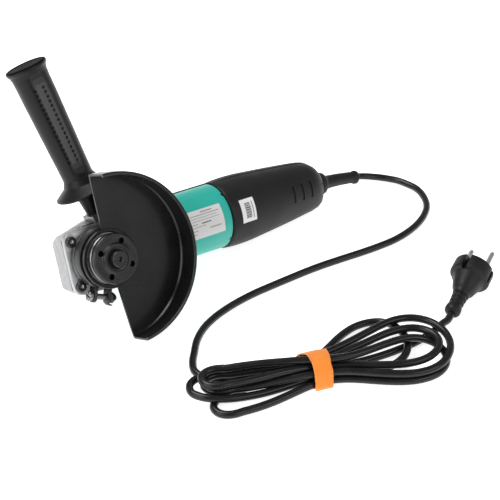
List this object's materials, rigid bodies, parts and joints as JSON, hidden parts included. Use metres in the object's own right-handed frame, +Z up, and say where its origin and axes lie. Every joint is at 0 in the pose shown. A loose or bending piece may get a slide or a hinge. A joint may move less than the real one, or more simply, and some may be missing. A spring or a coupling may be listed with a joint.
{
  "type": "angle grinder",
  "caption": "Corded angle grinder with a round motor barrel, cast gear head, open disc guard, threaded side handle, and a mains cord tied in a hank with a round plug.",
  "frame": {"origin": "middle of the tool's outline on the surface it stands on, without its free cord, hank and plug", "axes": "+Z up from the ground; +X from the gear head to the rear of the motor barrel, seen from above; +Y away from the side the disc faces, toward the side handle's end"},
  "size_m": [0.3584, 0.3442, 0.2041],
  "materials": {
    "cast_aluminium": "fine sand cast",
    "teal_plastic": "satin moulded",
    "black_plastic": "fine grain moulded",
    "guard_paint": "semi-gloss powder coat",
    "bright_steel": "turned",
    "black_steel": "blackened",
    "brass": "plain",
    "copper": "varnished winding",
    "lamination_steel": "stacked laminations",
    "carbon": "pressed carbon",
    "black_rubber": "matt",
    "plated_brass": "nickel plated",
    "orange_strap": "hook-and-loop weave"
  },
  "bodies": {
    "tool": {"air_baffle": "black_plastic", "bearing_cover": "cast_aluminium", "bearing_plate": "cast_aluminium", "brush_holder_1": "brass", "brush_holder_2": "brass", "cable_tie": "orange_strap", "carbon_brush_1": "carbon", "carbon_brush_2": "carbon", "cord_boot": "black_rubber", "cord_clamp": "black_plastic", "cord_clamp_screw_1": "bright_steel", "cord_clamp_screw_2": "bright_steel", "cord_hank": "black_rubber", "cord_tail": "black_rubber", "cord_tube": "black_rubber", "cover_screw_1": "black_steel", "cover_screw_2": "black_steel", "cover_screw_3": "black_steel", "cover_screw_4": "black_steel", "field_coil_1": "copper", "field_coil_2": "copper", "front_bearing": "bright_steel", "gear_head_housing": "cast_aluminium", "head_screw_1": "black_steel", "head_screw_2": "black_steel", "head_screw_3": "black_steel", "head_screw_4": "black_steel", "motor_housing": "teal_plastic", "plug_body": "black_rubber", "plug_pin_1": "plated_brass", "plug_pin_2": "plated_brass", "rear_bearing": "bright_steel", "rear_bearing_bracket": "black_plastic", "rear_handle_shell_back_side": "black_plastic", "rear_handle_shell_disc_side": "black_plastic", "side_handle_grip": "black_plastic", "side_handle_stud": "bright_steel", "spindle_bearing": "bright_steel", "spindle_bush": "brass", "spindle_lock_spring": "bright_steel", "stator_core": "lamination_steel", "switch_block": "black_plastic"},
    "armature": {"armature_shaft": "bright_steel", "bevel_pinion": "bright_steel", "cooling_fan": "black_plastic", "armature_core": "lamination_steel", "armature_winding_front": "copper", "armature_winding_rear": "copper", "commutator": "copper"},
    "spindle_set": {"spindle": "bright_steel", "crown_gear": "bright_steel", "inner_flange": "black_steel", "lock_nut": "black_steel"},
    "guard": {"disc_guard": "guard_paint", "guard_clamp_band": "black_steel", "guard_clamp_bolt": "bright_steel", "guard_clamp_nut": "bright_steel"},
    "switch": {"slide_switch_knob": "black_plastic", "switch_rod": "bright_steel"},
    "lock": {"spindle_lock_button": "black_steel"}
  },
  "joints": [
    {"name": "armature_spin", "type": "hinge", "parent": "tool", "child": "armature", "pos_m": [-0.1317, -0.00018, 0.04818], "axis": [0.9938, 0, -0.1112], "continuous": true},
    {"name": "spindle_spin", "type": "hinge", "parent": "tool", "child": "spindle_set", "pos_m": [-0.1317, -0.00018, 0.04818], "axis": [0.048, -0.9021, 0.4288], "continuous": true},
    {"name": "guard_turn", "type": "hinge", "parent": "tool", "child": "guard", "pos_m": [-0.13009, -0.03058, 0.06263], "axis": [0.048, -0.9021, 0.4288], "range_deg": [-160, 30]},
    {"name": "switch_slide", "type": "slide", "parent": "tool", "child": "switch", "axis": [-0.9938, 0, 0.1112], "range_m": [0, 0.006]},
    {"name": "lock_press", "type": "slide", "parent": "tool", "child": "lock", "axis": [0.048, -0.9021, 0.4288], "range_m": [0, 0.0035], "stiffness_N_per_m": 400, "springref_m": -0.002, "deforming": ["spindle_lock_spring"]}
  ],
  "couplings": [
    {"joint": "spindle_spin", "follows": "armature_spin", "ratio": -0.25}
  ]
}
